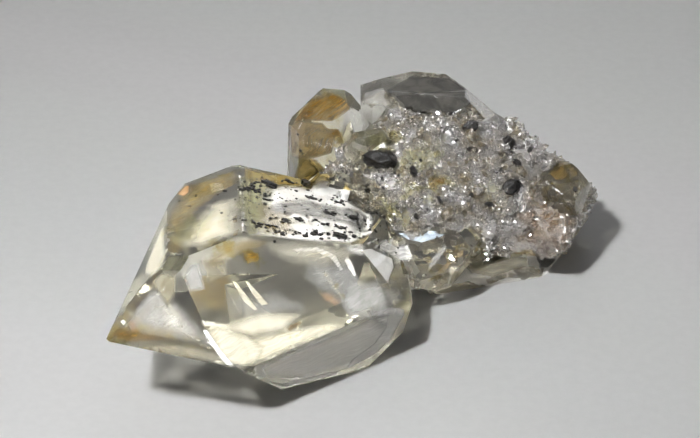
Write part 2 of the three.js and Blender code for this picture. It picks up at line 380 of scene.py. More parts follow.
def carbonMaterial(spec):
    material, tree, shader, place = newMaterial("carbon")
    grain = noiseStep(tree, place, spec["grain"], 4.0, 0.6)
    tone = mixStep(tree, rangeStep(tree, grain, 0.35, 0.75), *spec["tones"])
    tree.links.new(tone, shader.inputs["Base Color"])
    tree.links.new(rangeStep(tree, grain, 0.3, 0.7, *spec["roughness"]), shader.inputs["Roughness"])
    shader.inputs["Specular IOR Level"].default_value = spec["specular"]
    strength, height, scale = spec["pits"]
    bump = addNode(tree, "ShaderNodeBump", {
        "Strength": strength, "Distance": height, "Height": noiseStep(tree, place, scale)})
    tree.links.new(bump.outputs["Normal"], shader.inputs["Normal"])
    return material


veilAndPaintedLightSpec = {
    "facing": (-0.30, -0.57, 0.77),   # the crumbs in a veil face the light more than the veil does
    "ownFacing": 0.35,                # and its own normal counts for this much
    "clouds": 480,
    "lines": (8000, 0.40, 0.70),      # scale, from, to
    "alongLines": 0.05,               # how far the lines are drawn out
    "bend": (330, 0.0016),            # scale and size of the lines' bends
    "uneven": (240, 0.92),            # scale, least
    "darker": 1.35,                   # gamma of the darker clouds
    "roughness": 0.35,
    "litBehind": (-0.1, 0.15),
}


# the panes' material: healed veils and cracks, stains, and painted highlights, glows, reflections and shade
def veilAndPaintedLightMaterial(spec):
    material, tree, shader, place = newMaterial("innerVeilsAndPaintedLight")
    fade, streaky, across = (readStep(tree, key) for key in ("fade", "streaky", "across"))
    tone = addNode(tree, "ShaderNodeAttribute", attribute_name="tone").outputs["Color"]
    cloud = noiseStep(tree, place, spec["clouds"], 4.0, 0.6, 0.8)
    bendScale, bend = spec["bend"]
    bend = mathStep(tree, "MULTIPLY", noiseStep(tree, place, bendScale, 2.0), bend)
    fine, low, high = spec["lines"]
    lines = addNode(tree, "ShaderNodeTexNoise", {
        "Vector": vectorStep(tree, "SCALE", place, spec["alongLines"]),
        "W": mathStep(tree, "ADD", across, bend), "Scale": fine, "Detail": 3.0,
    }, noise_dimensions="4D").outputs["Fac"]
    lines = mathStep(tree, "MULTIPLY", rangeStep(tree, lines, low, high), streaky)
    drawn = mathStep(tree, "ADD", lines, mathStep(tree, "SUBTRACT", 1.0, streaky))
    # a soft edge is eaten into by the clouds
    eaten = mathStep(tree, "ADD", fade, mathStep(tree, "MULTIPLY", cloud, 0.5))
    whole = mathStep(tree, "MULTIPLY", fade, 1.15, True)
    sheet = mathStep(tree, "MINIMUM", rangeStep(tree, eaten, 0.2, 1.0), whole)
    unevenScale, least = spec["uneven"]
    uneven = rangeStep(tree, noiseStep(tree, place, unevenScale, 3.0, 0.6, 0.5), 0.3, 0.6, least, 1.0)
    alpha = mathStep(tree, "MULTIPLY", mathStep(tree, "MULTIPLY", sheet, drawn), uneven)
    tree.links.new(alpha, shader.inputs["Alpha"])
    darker = addNode(tree, "ShaderNodeGamma", {"Color": tone, "Gamma": spec["darker"]}).outputs[0]
    colour = mixStep(tree, rangeStep(tree, cloud, 0.35, 0.62), darker, tone)
    tree.links.new(colour, shader.inputs["Base Color"])
    shader.inputs["Roughness"].default_value = spec["roughness"]
    shader.inputs["Specular IOR Level"].default_value = 0.0
    normals = addNode(tree, "ShaderNodeNewGeometry").outputs
    own = vectorStep(tree, "SCALE", normals["Normal"], spec["ownFacing"])
    aimed = vectorStep(tree, "NORMALIZE", vectorStep(tree, "ADD", own, spec["facing"]))
    tree.links.new(aimed, shader.inputs["Normal"])
    # a veil that is lit from behind glows through
    lit = vectorStep(tree, "DOT_PRODUCT", normals["True Normal"], spec["facing"])
    behind = mathStep(tree, "MULTIPLY", rangeStep(tree, lit, *spec["litBehind"], 1.0, 0.0), alpha)
    glow = addNode(tree, "ShaderNodeBsdfTranslucent", {"Color": colour})
    both = addNode(tree, "ShaderNodeMixShader", {0: behind, 1: shader.outputs[0], 2: glow.outputs[0]})
    tree.links.new(both.outputs[0], tree.nodes["Material Output"].inputs["Surface"])
    return material


def floorMaterial(colour):
    material, tree, shader, place = newMaterial("paleSheet")
    tone = rangeStep(tree, noiseStep(tree, place, 900, 4.0, 0.6), 0.3, 0.7)
    darker = tuple(0.965 * c for c in colour[:3]) + (1,)
    tree.links.new(mixStep(tree, tone, darker, colour), shader.inputs["Base Color"])
    shader.inputs["Roughness"].default_value = 0.85
    return material


stainAndPaintedDark = stainAndPaintedDarkGroup(stainAndPaintedDarkSpec)
clearQuartz = quartzMaterial("clearQuartz", stainAndPaintedDark, quartzSpec["clear"])
druseQuartz = quartzMaterial("druseQuartz", stainAndPaintedDark, quartzSpec["druse"])
grainQuartz = quartzMaterial("grainQuartz", stainAndPaintedDark, quartzSpec["grain"])
carbon = carbonMaterial(carbonSpec)
veilAndPaintedLight = veilAndPaintedLightMaterial(veilAndPaintedLightSpec)
print("materials ready")


studioSpec = {
    "dim": 0.125,             # every lamp and the sky are this much weaker
    "exposure": 3,            # and the view brings it back
    "floorSize": 1600,
    "floorColour": (0.70, 0.70, 0.695, 1),
    "below": (0.24, 0.235, 0.225, 1),
    "above": (0.06, 0.06, 0.062, 1),
    "lamps": [
        # name, heading, rise, distance, size, spread, watts, aimed at
        ("key", -118, 50, 420, 30, 50, 0.114, (-16, -4, 0)),
        ("back", 78, 42, 480, 200, 120, 0.07, (0, 4, 6)),
    ],
    # lamps that only glint on the facets: heading, rise, size
    "glints": [
        (-60, 65, 60), (-128, 58, 60), (-88, 74, 60), (-30, 40, 60), (-150, 35, 60), (40, 55, 60),
        (120, 50, 60), (-75, 20, 50), (-105, 28, 50), (-70, 42, 50), (-100, 88, 60), (-20, 66, 60),
        (-170, 62, 60), (68, 7, 220),
    ],
    "glint": (420, 180, 0.18, (0, 0, 8)),     # distance, spread, watts, aimed at
}


def addLamp(name, heading, rise, distance, size, spread, watts, aim):
    lamp = bpy.data.lights.new(name, "AREA")
    lamp.shape = "DISK"
    lamp.size = size * mm
    lamp.spread = math.radians(spread)
    lamp.energy = watts * studioSpec["dim"]
    obj = linkObject(name, lamp)
    placeFacing(obj, direction(heading, rise) * distance * mm, Vector(aim) * mm)
    return obj


def addStudio(spec):
    bm = bmesh.new()
    bmesh.ops.create_grid(bm, x_segments=1, y_segments=1, size=spec["floorSize"] * mm / 2)
    meshObject("floor", bm, [floorMaterial(spec["floorColour"])])
    for lamp in spec["lamps"]:
        addLamp(*lamp)
    distance, spread, watts, aim = spec["glint"]
    for heading, rise, size in spec["glints"]:
        addLamp("glint", heading, rise, distance, size, spread, watts, aim).visible_diffuse = False
    scene.world = bpy.data.worlds.new("studio")
    scene.world.use_nodes = True
    tree = scene.world.node_tree
    background = tree.nodes["Background"].inputs
    background["Strength"].default_value = spec["dim"]
    place = addNode(tree, "ShaderNodeTexCoord").outputs["Generated"]
    height = addNode(tree, "ShaderNodeSeparateXYZ", {"Vector": place}).outputs["Z"]
    sky = mixStep(tree, rangeStep(tree, height, -0.1, 1.0), spec["below"], spec["above"])
    tree.links.new(sky, background["Color"])
    scene.view_settings.view_transform = "Standard"
    scene.view_settings.exposure = spec["exposure"]


addStudio(studioSpec)
print("studio ready")


bodySpec = {
    "weld": 0.0002,
    "flat": 0.4,              # faces that differ by fewer degrees are one
    "spacing": 0.38,          # between the points of a refined face
    "rowGap": 0.866,          # between rows of points, in spacings
    "rimGap": 0.42,           # from the points to the face's edge, in spacings
    "fadeIn": 2.2,            # the bumps reach full height this far from the edge, in spacings
    "mainHeading": 39,
    "seam": (51, 3.6, 0.9),   # heading and reach of the plane where the druse starts, and its wander
    # capsules that hold the other clear crystals: middle, heading, rise, half length, radius
    "clearZones": [
        ((-3.9, 14.6, 11.4), 80, 78, 4.0, 4.3),
        ((6.1, 17.0, 13.2), -4, -3, 4.8, 5.5),
        ((13.6, 8.8, 1.2), 17, 0, 6.0, 4.9),
        ((20.6, 9.6, 9.3), -60, 30, 1.2, 3.1),
        ((7.6, 1.4, 6.0), 62, 4, 3.2, 3.4),
        ((1.1, 8.8, 13.2), 250, 52, 2.6, 2.9),
    ],
    "druseBumps": [(1.6, 0.20), (0.7, 0.11)],      # wavelength, height
    "clearBumps": [(4.5, 0.010), (1.6, 0.003)],
    "bumpShift": (1.3, 0.7, 2.1),
    "sharpAngle": 24,
    "facetSeed": 4,
    "lowShare": 0.55,         # less light comes in through the lower left facets
    "endShare": (15.0, 0.35), # and through those further right than this
    "edgeWear": 0.075,
    "shortest": 1.3,          # of the edges that are worn
    "wornAngles": (9, 130),
}


def zoneDistance(point, zone):
    middle, heading, rise, half, radius = zone
    axis = direction(heading, rise)
    local = point - Vector(middle)
    along = max(-half, min(half, local.dot(axis)))
    return (local - axis * along).length - radius


def isClear(point):
    heading, reach, wander = bodySpec["seam"]
    reach += wander * noise.noise(point / 1.4)
    if point.dot(direction(heading, 0)) < reach:
        return True
    return any(zoneDistance(point, zone) < 0 for zone in bodySpec["clearZones"])


def relief(point):
    bumps = bodySpec["clearBumps" if isClear(point) else "druseBumps"]
    return sum(height * noise.noise(point / wave + Vector(bodySpec["bumpShift"])) for wave, height in bumps)


# which points lie in a polygon, and how far each is from its edges
def insideDistances(points, corners):
    gap = np.full(len(points), 1e9)
    inside = np.zeros(len(points), bool)
    for a, b in zip(corners, np.roll(corners, -1, axis=0)):
        edge = b - a
        along = np.clip((points - a) @ edge / max(edge @ edge, 1e-18), 0, 1)
        gap = np.minimum(gap, np.linalg.norm(points - a - along[:, None] * edge, axis=1))
        crosses = (a[1] > points[:, 1]) != (b[1] > points[:, 1])
        if abs(edge[1]) > 1e-15:
            inside ^= crosses & (points[:, 0] < edge[0] * (points[:, 1] - a[1]) / edge[1] + a[0])
    return inside, gap


# the triangles inside an outline of so many points, found from its edges inwards
def trianglesInside(triangles, count):
    sides = {(t[i], t[(i + 1) % 3]): t for t in triangles for i in range(3)}
    walls = {(i, (i + 1) % count) for i in range(count)}
    reached = {sides[wall] for wall in walls if wall in sides}
    waiting = list(reached)
    while waiting:
        t = waiting.pop()
        for a, b in ((t[0], t[1]), (t[1], t[2]), (t[2], t[0])):
            other = sides.get((b, a))
            if other and other not in reached and (a, b) not in walls and (b, a) not in walls:
                reached.add(other)
                waiting.append(other)
    return sorted(reached)


def refineFace(bm, face, spacing):
    normal = face.normal.copy()
    corners = list(face.verts)
    origin = corners[0].co.copy()
    across = normal.orthogonal().normalized()
    up = normal.cross(across)
    flat = np.array([((v.co - origin).dot(across), (v.co - origin).dot(up)) for v in corners])
    low, high = flat.min(0), flat.max(0)
    rowGap = bodySpec["rowGap"]
    rows = int((high[1] - low[1]) / (spacing * rowGap)) + 1
    columns = int((high[0] - low[0]) / spacing) + 2
    grid = np.array([
        (low[0] + (c + 0.5 * (r % 2)) * spacing, low[1] + r * spacing * rowGap)
        for r in range(rows) for c in range(columns)
    ])
    inside, gap = insideDistances(grid, flat)
    keep = inside & (gap > bodySpec["rimGap"] * spacing)
    grid, gap = grid[keep], gap[keep]
    if not len(grid):
        return
    count = len(corners)
    points = [Vector(p) for p in flat] + [Vector(p) for p in grid]
    result = geometry.delaunay_2d_cdt(points, [], [list(range(count))], 1, spacing * 1e-4, True)
    if len(result[0]) != len(points) or any(len(sources) != 1 for sources in result[3]):
        return
    source = [sources[0] for sources in result[3]]
    triangles = trianglesInside([tuple(source[i] for i in t) for t in result[2]], count)
    facet = bm.faces.layers.float["facet"]
    share = face[facet]
    verts = list(corners)
    for place, inward in zip(grid, gap):
        spot = origin + across * float(place[0]) + up * float(place[1])
        fade = min(1.0, inward / (spacing * bodySpec["fadeIn"]))
        spot += normal * relief(spot / mm) * fade * mm
        spot.z = max(spot.z, 0)
        verts.append(bm.verts.new(spot))
    bm.faces.remove(face)
    for triangle in triangles:
        ring = [verts[i] for i in triangle]
        if bm.faces.get(ring) is None:
            made = bm.faces.new(ring)
            made.smooth = True
            made[facet] = share


# long outer edges of the clear crystals, which are slightly worn round
def isWorn(edge):
    if len(edge.link_faces) != 2 or edge.calc_length() < bodySpec["shortest"] * mm or not edge.is_convex:
        return False
    least, most = bodySpec["wornAngles"]
    angle = math.degrees(edge.calc_face_angle(0))
    return least < angle < most and all(isClear(f.calc_center_median() / mm) for f in edge.link_faces)


# each face's share of the light that it lets in
def shareLight(bm):
    facet = bm.faces.layers.float.new("facet")
    rng = random.Random(bodySpec["facetSeed"])
    right, endShare = bodySpec["endShare"]
    for face in bm.faces:
        share = 1
        if face.normal.z < 0 and face.normal.x < 0:
            share = bodySpec["lowShare"]
        elif face.calc_center_median().x > right * mm:
            share = endShare
        face[facet] = rng.random() * share


def splitEdges(bm, spacing):
    for edge in list(bm.edges):
        vert = edge.verts[0]
        for left in range(int(edge.calc_length() / spacing + 0.5) - 1, 0, -1):
            vert = bmesh.utils.edge_split(edge, vert, 1 / (left + 1))[1]


# two triangles on the same three points are a fold with nothing in it
def dropFolds(bm):
    places = {}
    for face in bm.faces:
        places.setdefault(frozenset(face.verts), []).append(face)
    folds = [face for same in places.values() if len(same) > 1 for face in same]
    bmesh.ops.delete(bm, geom=folds, context="FACES")


def buildBody():
    spacing = bodySpec["spacing"] * mm
    bm = bmesh.new()
    bm.from_mesh(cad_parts["quartz_cluster"].data)
    bmesh.ops.remove_doubles(bm, verts=bm.verts, dist=bodySpec["weld"] * mm)
    flat = math.radians(bodySpec["flat"])
    bmesh.ops.dissolve_limit(bm, angle_limit=flat, verts=bm.verts, edges=bm.edges)
    shareLight(bm)
    bmesh.ops.bevel(
        bm, geom=[e for e in bm.edges if isWorn(e)], offset=bodySpec["edgeWear"] * mm,
        segments=2, profile=0.5, affect="EDGES", clamp_overlap=True)
    for edge in bm.edges:
        edge.smooth = edge.calc_face_angle(0) < math.radians(bodySpec["sharpAngle"])
    splitEdges(bm, spacing)
    # a fresh copy has no gaps, which new faces would fill in another order each run
    worn, bm = bm, bm.copy()
    worn.free()
    for face in list(bm.faces):
        face.smooth = True
        if face.calc_area() > spacing * spacing:
            refineFace(bm, face, spacing)
    bmesh.ops.triangulate(bm, faces=[f for f in bm.faces if len(f.verts) > 3])
    dropFolds(bm)
    bm.normal_update()
    for face in bm.faces:
        face.material_index = 0 if isClear(face.calc_center_median() / mm) else 1
    print("quartz body faces:", len(bm.faces))
    body = meshObject("quartz_body", bm, [clearQuartz, druseQuartz])
    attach(body, "root")
    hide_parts("quartz_cluster")
    return body


body = buildBody()
surface = BVHTree.FromPolygons(
    [v.co for v in body.data.vertices], [tuple(p.vertices) for p in body.data.polygons])
print("quartz body built")


# Geometry Nodes: a tree with named sizes, a seed and a material, run once and kept as a plain mesh
def newTree(name, sizes):
    tree = bpy.data.node_groups.new(name, "GeometryNodeTree")
    tree.is_modifier = True

    def addSocket(way, socketName, kind):
        tree.interface.new_socket(name=socketName, in_out=way, socket_type="NodeSocket" + kind)

    addSocket("OUTPUT", "Geometry", "Geometry")
    addSocket("INPUT", "Geometry", "Geometry")
    for size in sizes:
        addSocket("INPUT", size, "Float")
    addSocket("INPUT", "Seed", "Int")
    addSocket("INPUT", "Material", "Material")
    return tree, tree.nodes.new("NodeGroupInput").outputs


def closeTree(tree, geometrySocket, material):
    real = addNode(tree, "GeometryNodeRealizeInstances", {"Geometry": geometrySocket}).outputs[0]
    flat = addNode(tree, "GeometryNodeSetShadeSmooth", {"Geometry": real, "Shade Smooth": False}).outputs[0]
    done = addNode(tree, "GeometryNodeSetMaterial", {"Geometry": flat, "Material": material}).outputs[0]
    tree.links.new(done, tree.nodes.new("NodeGroupOutput").inputs[0])


def growTree(name, ground, tree, values):
    source = linkObject(name + "_ground", ground)
    modifier = source.modifiers.new("grow", "NODES")
    modifier.node_group = tree
    for item in tree.interface.items_tree:
        if item.item_type == "SOCKET" and item.in_out == "INPUT" and item.name in values:
            modifier[item.identifier] = values[item.name]
    graph = bpy.context.evaluated_depsgraph_get()
    mesh = bpy.data.meshes.new_from_object(source.evaluated_get(graph), depsgraph=graph)
    bpy.data.objects.remove(source)
    mesh.name = name
    piece = linkObject(name, mesh)
    print(name, "faces:", len(mesh.polygons))
    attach(piece, "root")
    return piece


def randomStep(tree, low, high, seed, shift):
    kind = "FLOAT_VECTOR" if isinstance(low, tuple) else "FLOAT"
    first = 0 if kind == "FLOAT_VECTOR" else 2
    inputs = {first: low, first + 1: high, "Seed": mathStep(tree, "ADD", seed, shift)}
    node = addNode(tree, "FunctionNodeRandomValue", inputs, data_type=kind)
    return node.outputs[0 if kind == "FLOAT_VECTOR" else 1]


def pointStep(tree, name, kind="FLOAT"):
    return addNode(tree, "GeometryNodeInputNamedAttribute", {"Name": name}, data_type=kind).outputs[0]


# stands upright along a direction and is spun round it
def turnStep(tree, aim, angle):
    upright = addNode(tree, "FunctionNodeAlignRotationToVector", {"Vector": aim}, axis="Z").outputs[0]
    spin = addNode(tree, "FunctionNodeAxisAngleToRotation", {
        "Axis": (0.0, 0.0, 1.0), "Angle": angle}).outputs[0]
    return addNode(tree, "FunctionNodeRotateRotation", {
        "Rotation": upright, "Rotate By": spin}, rotation_space="LOCAL").outputs[0]


druseSpec = {
    "perSquareMillimetre": 5.5,
    "radius": (0.08, 0.33),
    "stretch": (0.85, 1.45),
    "lean": 1.1,
    "tip": 1.1,
    "patches": 0.45,          # bare and crowded patches a millimetre
    "bald": ((18.9, 4.6, 7.2), 3.2, 0.45),    # few grains on the rosy crystal
    "lowest": 2.0,            # none grows below this height
    "seed": 5,
}


def druseTree():
    tree, source = newTree("druseCrystals", [
        "Density", "Smallest", "Largest", "Least Stretch", "Most Stretch", "Lean", "Tip", "Patches"])
    seed = source["Seed"]
    crowding = addNode(tree, "ShaderNodeTexNoise", {"Scale": source["Patches"]}).outputs[0]
    crowding = rangeStep(tree, crowding, 0.36, 0.66, 0.15, 1.6)
    weight = mathStep(tree, "MULTIPLY", pointStep(tree, "grow"), crowding)
    density = mathStep(tree, "MULTIPLY", source["Density"], weight)
    points = addNode(tree, "GeometryNodeDistributePointsOnFaces", {
        "Mesh": source["Geometry"], "Seed": seed, "Density": density}).outputs
    # a six-sided prism, with the middle of each end pulled out to a point
    prism = addNode(tree, "GeometryNodeMeshCylinder", {
        "Vertices": 6, "Side Segments": 1, "Fill Segments": 1, "Radius": 1.0, "Depth": 1.6,
    }, fill_type="TRIANGLE_FAN").outputs["Mesh"]
    place = addNode(tree, "GeometryNodeInputPosition").outputs[0]
    axes = addNode(tree, "ShaderNodeSeparateXYZ", {0: place}).outputs
    reach = mathStep(tree, "ADD", mathStep(tree, "ABSOLUTE", axes[0]), mathStep(tree, "ABSOLUTE", axes[1]))
    push = mathStep(tree, "MULTIPLY", mathStep(tree, "SIGN", axes[2]), source["Tip"])
    crystal = addNode(tree, "GeometryNodeSetPosition", {
        "Geometry": prism, "Selection": mathStep(tree, "LESS_THAN", reach, 0.01),
        "Offset": addNode(tree, "ShaderNodeCombineXYZ", {2: push}).outputs[0],
    }).outputs[0]
    anyWay = randomStep(tree, (-1.0, -1.0, -1.0), (1.0, 1.0, 1.0), seed, 1)
    wander = vectorStep(tree, "SCALE", anyWay, source["Lean"])
    aim = vectorStep(tree, "ADD", points["Normal"], wander)
    turned = turnStep(tree, aim, randomStep(tree, 0.0, 6.283, seed, 2))
    small = mathStep(tree, "POWER", randomStep(tree, 0.0, 1.0, seed, 3), 2.2)
    spread = mathStep(tree, "SUBTRACT", source["Largest"], source["Smallest"])
    radius = mathStep(tree, "ADD", source["Smallest"], mathStep(tree, "MULTIPLY", small, spread))
    stretch = randomStep(tree, source["Least Stretch"], source["Most Stretch"], seed, 4)
    size = addNode(tree, "ShaderNodeCombineXYZ", {
        0: radius, 1: mathStep(tree, "MULTIPLY", radius, randomStep(tree, 0.75, 1.15, seed, 5)),
        2: mathStep(tree, "MULTIPLY", radius, stretch),
    }).outputs[0]
    crystals = addNode(tree, "GeometryNodeInstanceOnPoints", {
        "Points": points["Points"], "Instance": crystal, "Rotation": turned, "Scale": size}).outputs[0]
    closeTree(tree, crystals, source["Material"])
    return tree


def druseGround():
    ground = body.data.copy()
    ground.name = "druse_ground"
    grow = ground.attributes.new("grow", "FLOAT", "POINT")
    middle, reach, few = druseSpec["bald"]
    for vert, item in zip(ground.vertices, grow.data):
        place = vert.co / mm
        bare = isClear(place) or place.z < druseSpec["lowest"]
        item.value = 0.0 if bare else few if (place - Vector(middle)).length < reach else 1.0
    return ground


def addDruse(spec):
    return growTree("druse_crystals", druseGround(), druseTree(), {
        "Density": spec["perSquareMillimetre"] / mm ** 2,
        "Smallest": spec["radius"][0] * mm,
        "Largest": spec["radius"][1] * mm,
        "Least Stretch": spec["stretch"][0],
        "Most Stretch": spec["stretch"][1],
        "Lean": spec["lean"],
        "Tip": spec["tip"],
        "Patches": spec["patches"] / mm,
        "Seed": spec["seed"],
        "Material": grainQuartz,
    })


addDruse(druseSpec)


# black flakes lie in strings on the large crystal's cut face
flakeSpec = {
    "middle": (-6.47, -0.52, 13.14),
    "facing": (33, 71.4),     # heading and rise of the face
    # across, up, length, turn from across, flakes
    "strings": [
        (-1.6, -7.2, 3.4, -24, 20), (-6.3, -5.9, 3.4, -28, 24), (-8.2, -4.6, 2.2, -30, 14),
        (-3.6, 3.9, 2.6, -8, 20), (-0.4, 4.6, 1.9, -8, 12), (2.7, 5.4, 1.0, -30, 5), (1.6, 3.6, 1.1, -60, 5),
        (-1.9, 2.3, 1.6, -24, 8), (4.2, -3.8, 1.8, -70, 12), (7.0, 2.0, 1.9, -72, 16),
        (-3.5, -6.8, 1.8, -24, 12), (8.0, -3.2, 1.8, 20, 18), (1.1, -7.4, 1.4, -60, 7),
        (8.6, 1.6, 1.4, -30, 14), (-8.3, -6.2, 1.6, -30, 8), (-0.7, 5.4, 0.9, -30, 5),
        (-0.7, -4.5, 1.2, -40, 7), (9.6, 0.6, 1.4, -60, 14), (8.8, -1.7, 1.4, -60, 12),
        (2.7, 1.3, 0.8, -20, 8), (-2.9, -3.4, 1.0, 60, 6), (-3.3, 1.6, 1.0, 30, 5),
        (4.4, -5.6, 1.0, 40, 6), (0.6, -5.9, 1.2, -20, 7), (1.9, -2.5, 0.9, -20, 5),
        (-5.2, -3.6, 1.6, -30, 9), (-5.0, 0.4, 1.2, -60, 5), (5.6, 0.2, 1.3, -50, 12),
    ],
    "scatter": 0.38,
    "loose": 360,             # single specks over the whole face
    "looseReach": (11.5, 7.5),
    "looseMiddle": (1.0, -0.8),
    "size": (0.06, 0.25),
    "thickness": 1.0,         # times a flake's size
    "ragged": (0.22, 3.5),    # push, and bends a millimetre
    "lift": 0.012,            # over the face, and over the druse
    "liftDruse": 0.12,
    "large": [(4.5, 4.4, 0.72, -60), (-0.2, 4.9, 0.5, -10), (4.1, -3.6, 0.45, -70), (-1.0, -7.5, 0.5, -20)],
    # single grains caught in the druse: place, size
    "caught": [
        ((10.9, 8.8, 14.3), 0.34), ((15.5, 9.5, 12.4), 0.36), ((12.5, 4.9, 10.0), 0.42),
        ((10.7, 5.0, 11.1), 0.34), ((4.8, 4.7, 14.0), 0.42), ((3.0, 5.7, 14.8), 0.30),
        ((9.3, 9.0, 15.3), 0.20), ((7.6, 2.9, 11.8), 0.26), ((16.9, 10.1, 13.6), 0.22),
        ((13.8, 8.3, 12.2), 0.20), ((21.5, 7.5, 10.3), 0.22), ((5.6, 5.9, 14.7), 0.18),
        ((5.2, 1.6, 10.6), 0.26), ((6.4, 1.9, 11.0), 0.20), ((3.2, 1.6, 11.4), 0.24),
        ((0.4, 3.4, 12.6), 0.22), ((-6.6, 12.2, 12.4), 0.14), ((-5.2, 12.0, 11.2), 0.12),
        ((-6.9, 12.8, 14.0), 0.12),
    ],
    "seed": 11,
}


def flakeTree():
    tree, source = newTree("carbonFlakes", ["Thickness", "Ragged", "Ragged Scale"])
    seed = source["Seed"]
    size = pointStep(tree, "size")
    disc = addNode(tree, "GeometryNodeMeshCylinder", {
        "Vertices": 9, "Side Segments": 1, "Fill Segments": 2, "Radius": 1.0, "Depth": 1.0,
    }, fill_type="TRIANGLE_FAN").outputs["Mesh"]
    turned = turnStep(tree, pointStep(tree, "facing", "FLOAT_VECTOR"), pointStep(tree, "turn"))
    scale = addNode(tree, "ShaderNodeCombineXYZ", {
        0: mathStep(tree, "MULTIPLY", size, randomStep(tree, 0.8, 1.7, seed, 1)),
        1: mathStep(tree, "MULTIPLY", size, randomStep(tree, 0.6, 1.1, seed, 2)),
        2: mathStep(tree, "MULTIPLY", size, source["Thickness"]),
    }).outputs[0]
    flakes = addNode(tree, "GeometryNodeInstanceOnPoints", {
        "Points": source["Geometry"], "Instance": disc, "Rotation": turned, "Scale": scale}).outputs[0]
    real = addNode(tree, "GeometryNodeRealizeInstances", {"Geometry": flakes}).outputs[0]
    rough = addNode(tree, "ShaderNodeTexNoise", {"Scale": source["Ragged Scale"], "Detail": 2.0})
    push = pushStep(tree, rough.outputs["Color"], source["Ragged"])
    ragged = addNode(tree, "GeometryNodeSetPosition", {"Geometry": real, "Offset": push}).outputs[0]
    closeTree(tree, ragged, source["Material"])
    return tree


def pointMesh(name, points):
    mesh = bpy.data.meshes.new(name)
    mesh.from_pydata([p["place"] for p in points], [], [])
    for key, kind in (("facing", "FLOAT_VECTOR"), ("size", "FLOAT"), ("turn", "FLOAT")):
        data = mesh.attributes.new(key, kind, "POINT").data
        for item, point in zip(data, points):
            setattr(item, "vector" if kind == "FLOAT_VECTOR" else "value", point[key])
    return mesh


def addFlakes(spec):
    rng = random.Random(spec["seed"])
    normal = direction(*spec["facing"])
    axis = direction(bodySpec["mainHeading"], 0)
    across = (axis - normal * axis.dot(normal)).normalized()
    up = normal.cross(across)
    small, large = spec["size"]
    points = []

    def addPoint(place, facing, lift, size, turn):
        place = place + facing * lift * mm
        points.append({"place": place, "facing": facing, "size": size * mm, "turn": turn})

    # onto the face from above it
    def drop(u, v, size, turn):
        start = Vector(spec["middle"]) + across * u + up * v + normal * 6
        hit, facing, index, distance = surface.ray_cast(start * mm, -normal)
        if hit is not None and facing.dot(normal) > 0.3:
            addPoint(hit, facing, spec["lift"], size, turn)

    for u, v, length, turn, count in spec["strings"]:
        angle = math.radians(turn)
        for step in range(count):
            along = (step / max(1, count - 1) - 0.5) * length + rng.gauss(0, 0.12)
            aside = rng.gauss(0, spec["scatter"])
            drop(
                u + along * math.cos(angle) - aside * math.sin(angle),
                v + along * math.sin(angle) + aside * math.cos(angle),
                small + (large - small) * rng.random() ** 1.5, angle + rng.gauss(0, 0.5),
            )
    for u, v, size, turn in spec["large"]:
        drop(u, v, size, math.radians(turn))
    middle, reach = spec["looseMiddle"], spec["looseReach"]
    for _ in range(spec["loose"]):
        drop(
            middle[0] + rng.uniform(-1, 1) * reach[0], middle[1] + rng.uniform(-1, 1) * reach[1],
            small * (0.6 + 2.2 * rng.random() ** 3), rng.uniform(0, 6.28),
        )
    for place, size in spec["caught"]:
        hit, facing, index, distance = surface.find_nearest(Vector(place) * mm)
        addPoint(hit, facing, spec["liftDruse"], size, rng.uniform(0, 6))
    push, bends = spec["ragged"]
    growTree("carbon_flakes", pointMesh("flake_places", points), flakeTree(), {
        "Thickness": spec["thickness"], "Ragged": push * mm, "Ragged Scale": bends / mm,
        "Seed": spec["seed"], "Material": carbon,
    })


addFlakes(flakeSpec)


# thin panes just below the faces: healed veils, silvery cracks, stained facets, and painted highlights,
# glows, reflections and shade on the facets
paneTones = {
    "white": (0.99, 0.985, 0.97, 1), "silverSheen": (0.80, 0.795, 0.765, 1), "ivory": (0.90, 0.86, 0.71, 1),
    "cream": (0.68, 0.65, 0.54, 1), "pale": (0.46, 0.46, 0.45, 1), "sand": (0.36, 0.335, 0.25, 1),
    "beige": (0.18, 0.15, 0.095, 1), "lime": (0.38, 0.37, 0.24, 1), "straw": (0.36, 0.28, 0.11, 1),
    "olive": (0.27, 0.26, 0.14, 1), "moss": (0.13, 0.125, 0.075, 1), "shade": (0.10, 0.097, 0.085, 1),
    "darkReflection": (0.055, 0.052, 0.045, 1), "gold": (0.34, 0.24, 0.055, 1), "ochre": (0.18, 0.115, 0.035, 1),
    "umber": (0.16, 0.12, 0.065, 1), "amber": (0.28, 0.21, 0.11, 1), "copper": (0.66, 0.43, 0.27, 1),
    "blue": (0.55, 0.62, 0.70, 1),
}
